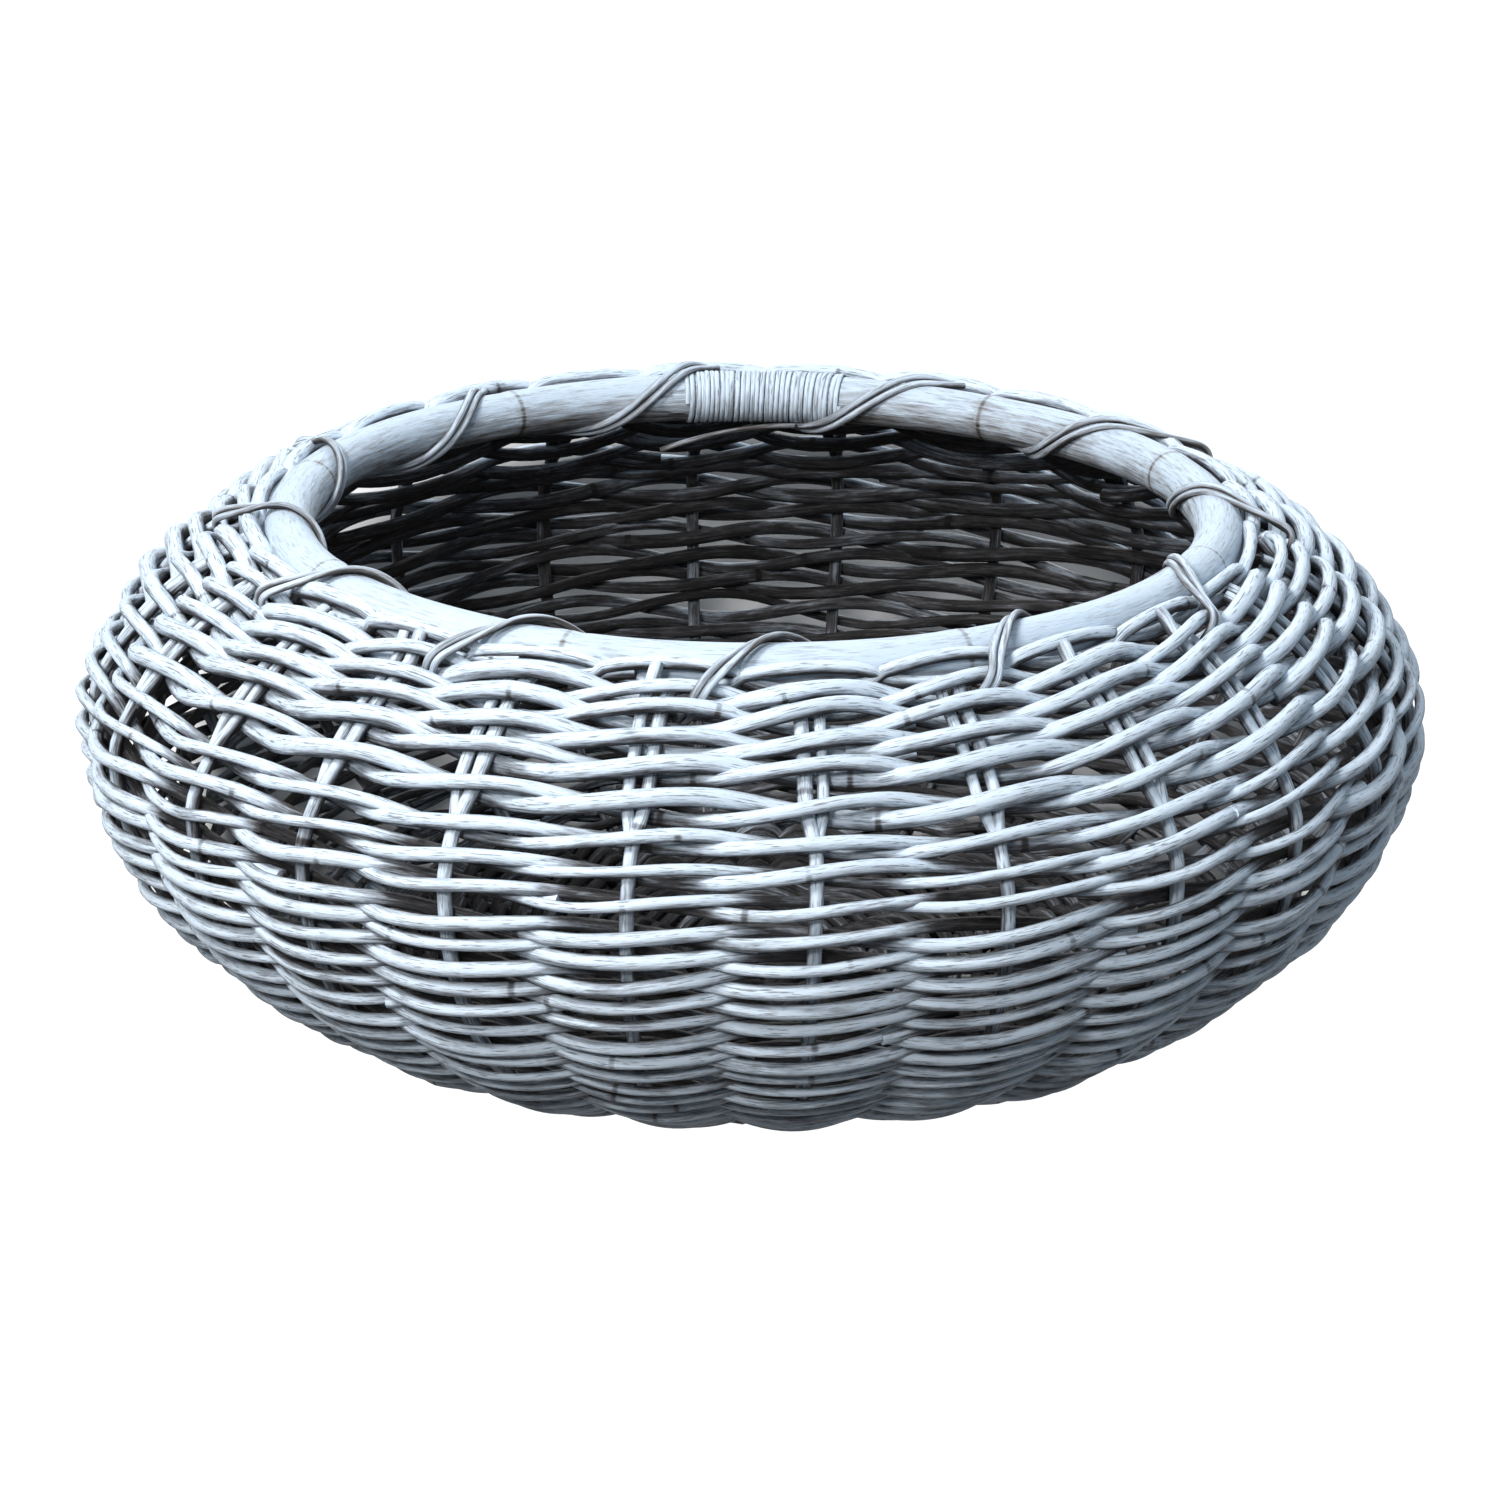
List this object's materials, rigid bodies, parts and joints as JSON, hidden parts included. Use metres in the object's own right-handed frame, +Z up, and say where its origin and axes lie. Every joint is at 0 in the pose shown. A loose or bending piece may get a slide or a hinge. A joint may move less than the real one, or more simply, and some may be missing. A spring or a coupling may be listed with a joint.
{
  "type": "basket",
  "caption": "Low round rattan basket with a bulging woven wall, drawn in to a thick pole rim that a doubled cane lashes on.",
  "frame": {"origin": "centre of the flat underside, at the middle of the footprint", "axes": "+Z up through the mouth, -Y towards the side that the picture shows, +Y towards the pole's joint"},
  "size_m": [0.595, 0.595, 0.235],
  "materials": {
    "weavers": "greywashed rattan core, matt",
    "stakes": "greywashed rattan core, matt",
    "pole": "greywashed rattan pole, satin",
    "cane": "split cane, satin"
  },
  "bodies": {
    "root": {"base_weave": "weavers", "base_stick_1": "stakes", "base_stick_2": "stakes", "base_stick_3": "stakes", "base_stick_4": "stakes", "base_stick_5": "stakes", "base_stick_6": "stakes", "stake_01": "stakes", "stake_02": "stakes", "stake_03": "stakes", "stake_04": "stakes", "stake_05": "stakes", "stake_06": "stakes", "stake_07": "stakes", "stake_08": "stakes", "stake_09": "stakes", "stake_10": "stakes", "stake_11": "stakes", "stake_12": "stakes", "stake_13": "stakes", "stake_14": "stakes", "stake_15": "stakes", "stake_16": "stakes", "stake_17": "stakes", "stake_18": "stakes", "stake_19": "stakes", "stake_20": "stakes", "stake_21": "stakes", "stake_22": "stakes", "stake_23": "stakes", "stake_24": "stakes", "base_turn_band": "weavers", "lower_belly_band": "weavers", "upper_belly_band": "weavers", "shoulder_band": "weavers", "border_band": "weavers", "rim_pole": "pole", "pole_joint_binding": "cane", "rim_lashing_first": "cane", "rim_lashing_second": "cane", "lashing_tail": "cane"}
  },
  "joints": []
}
